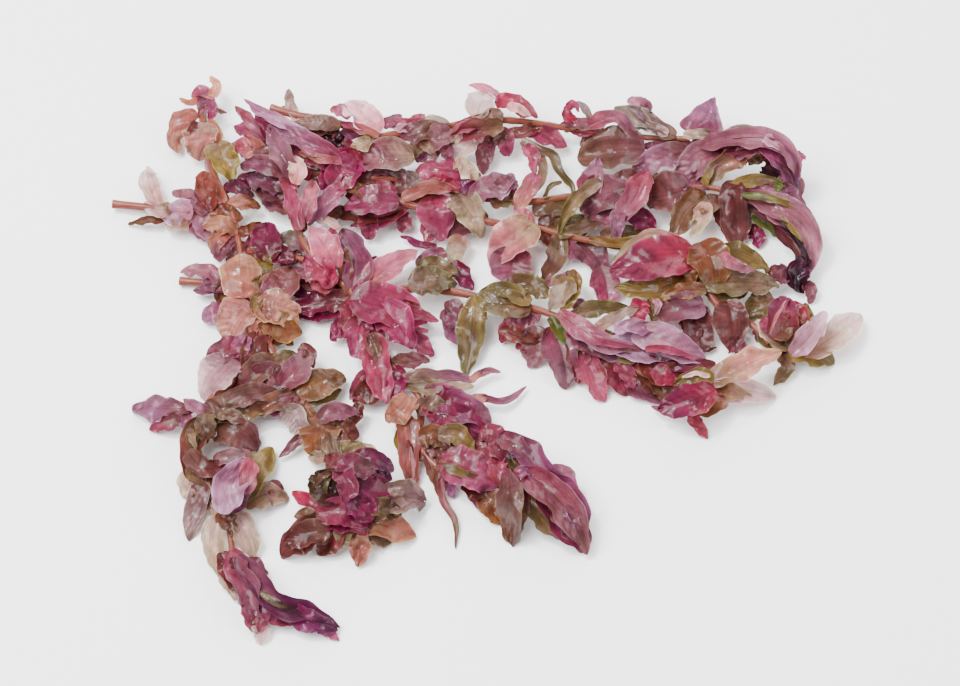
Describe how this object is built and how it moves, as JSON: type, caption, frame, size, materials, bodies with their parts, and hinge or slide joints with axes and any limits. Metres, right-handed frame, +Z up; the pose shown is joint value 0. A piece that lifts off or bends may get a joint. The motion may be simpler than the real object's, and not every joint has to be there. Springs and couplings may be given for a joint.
{
  "type": "rotala clump",
  "caption": "A clump of red-leaved stem plant for an aquarium, lying wet and flat, with stems that fan out from one crowded crown and thin rumpled leaves.",
  "frame": {"origin": "middle of the box around the clump, on the surface that it lies on", "axes": "+Z up from the surface, +X to the right along the clump's longer side, +Y away from the viewer, towards the row with the longest straight stem"},
  "size_m": [0.2498, 0.2078, 0.0268],
  "materials": {
    "stem": "wet, juicy stem, satin",
    "leaf_tip": "thin wet translucent leaf, satin with glossy spots",
    "leaf_salmon": "thin wet translucent leaf, satin with glossy spots",
    "leaf_pink": "thin wet translucent leaf, satin with glossy spots",
    "leaf_hot_pink": "thin wet translucent leaf, satin with glossy spots",
    "leaf_magenta": "thin wet translucent leaf, satin with glossy spots",
    "leaf_mauve": "thin wet translucent leaf, satin with glossy spots",
    "leaf_lilac": "thin wet translucent leaf, satin with glossy spots",
    "leaf_brown": "thin wet translucent leaf, satin with glossy spots",
    "leaf_olive": "thin wet translucent leaf, satin with glossy spots",
    "leaf_beige": "thin wet translucent leaf, satin with glossy spots",
    "leaf_lime": "thin wet translucent leaf, satin with glossy spots"
  },
  "bodies": {
    "root": {"stem_top": "stem", "stem_lower": "stem", "stem_upper": "stem", "stem_end": "stem", "stem_behind": "stem", "stem_middle": "stem", "stem_left": "stem", "stem_left_end": "stem", "stem_link": "stem", "stem_rosette": "stem", "stub_long": "stem", "stub_short": "stem", "tip_top": "leaf_tip", "tip_hook": "leaf_tip", "tip_lower": "leaf_tip", "tip_left": "leaf_tip", "tip_right": "leaf_tip", "tip_rosette": "leaf_tip", "tip_small": "leaf_tip", "leaf_round_salmon": "leaf_salmon", "leaf_olive_cup": "leaf_olive", "leaf_round_left": "leaf_salmon", "leaf_salmon_low": "leaf_salmon", "leaf_salmon_gloss": "leaf_salmon", "leaf_mauve_left": "leaf_mauve", "leaf_lilac_far": "leaf_lilac", "leaf_brown_olive": "leaf_brown", "leaf_hanging_pink": "leaf_mauve", "leaf_lilac_left": "leaf_lilac", "leaf_olive_green": "leaf_olive", "leaf_brown_gloss": "leaf_brown", "leaf_orange_brown": "leaf_brown", "leaf_pale_pink": "leaf_pink", "leaf_salmon_pink": "leaf_pink", "leaf_magenta_mass": "leaf_hot_pink", "leaf_ribbon": "leaf_mauve", "leaf_magenta_low": "leaf_magenta", "leaf_pink_big": "leaf_pink", "leaf_brown_down": "leaf_brown", "leaf_hot_pink": "leaf_hot_pink", "leaf_heart": "leaf_pink", "leaf_beige_gloss": "leaf_beige", "leaf_deep_pink": "leaf_pink", "leaf_pink_beige": "leaf_beige", "leaf_olive_beige": "leaf_olive", "leaf_olive_row": "leaf_olive", "leaf_olive_hanging": "leaf_olive", "leaf_mauve_long": "leaf_lilac", "leaf_pale_white": "leaf_lilac", "leaf_clear_white": "leaf_beige", "leaf_purple_hanging": "leaf_magenta", "leaf_olive_big": "leaf_olive", "leaf_triangle": "leaf_mauve", "leaf_brown_purple": "leaf_mauve", "leaf_oval_hanging": "leaf_mauve", "leaf_lime": "leaf_lime", "leaf_magenta_big": "leaf_hot_pink", "leaf_beige_brown": "leaf_brown", "leaf_mauve_right": "leaf_mauve", "leaf_beige_right": "leaf_beige"}
  },
  "joints": []
}
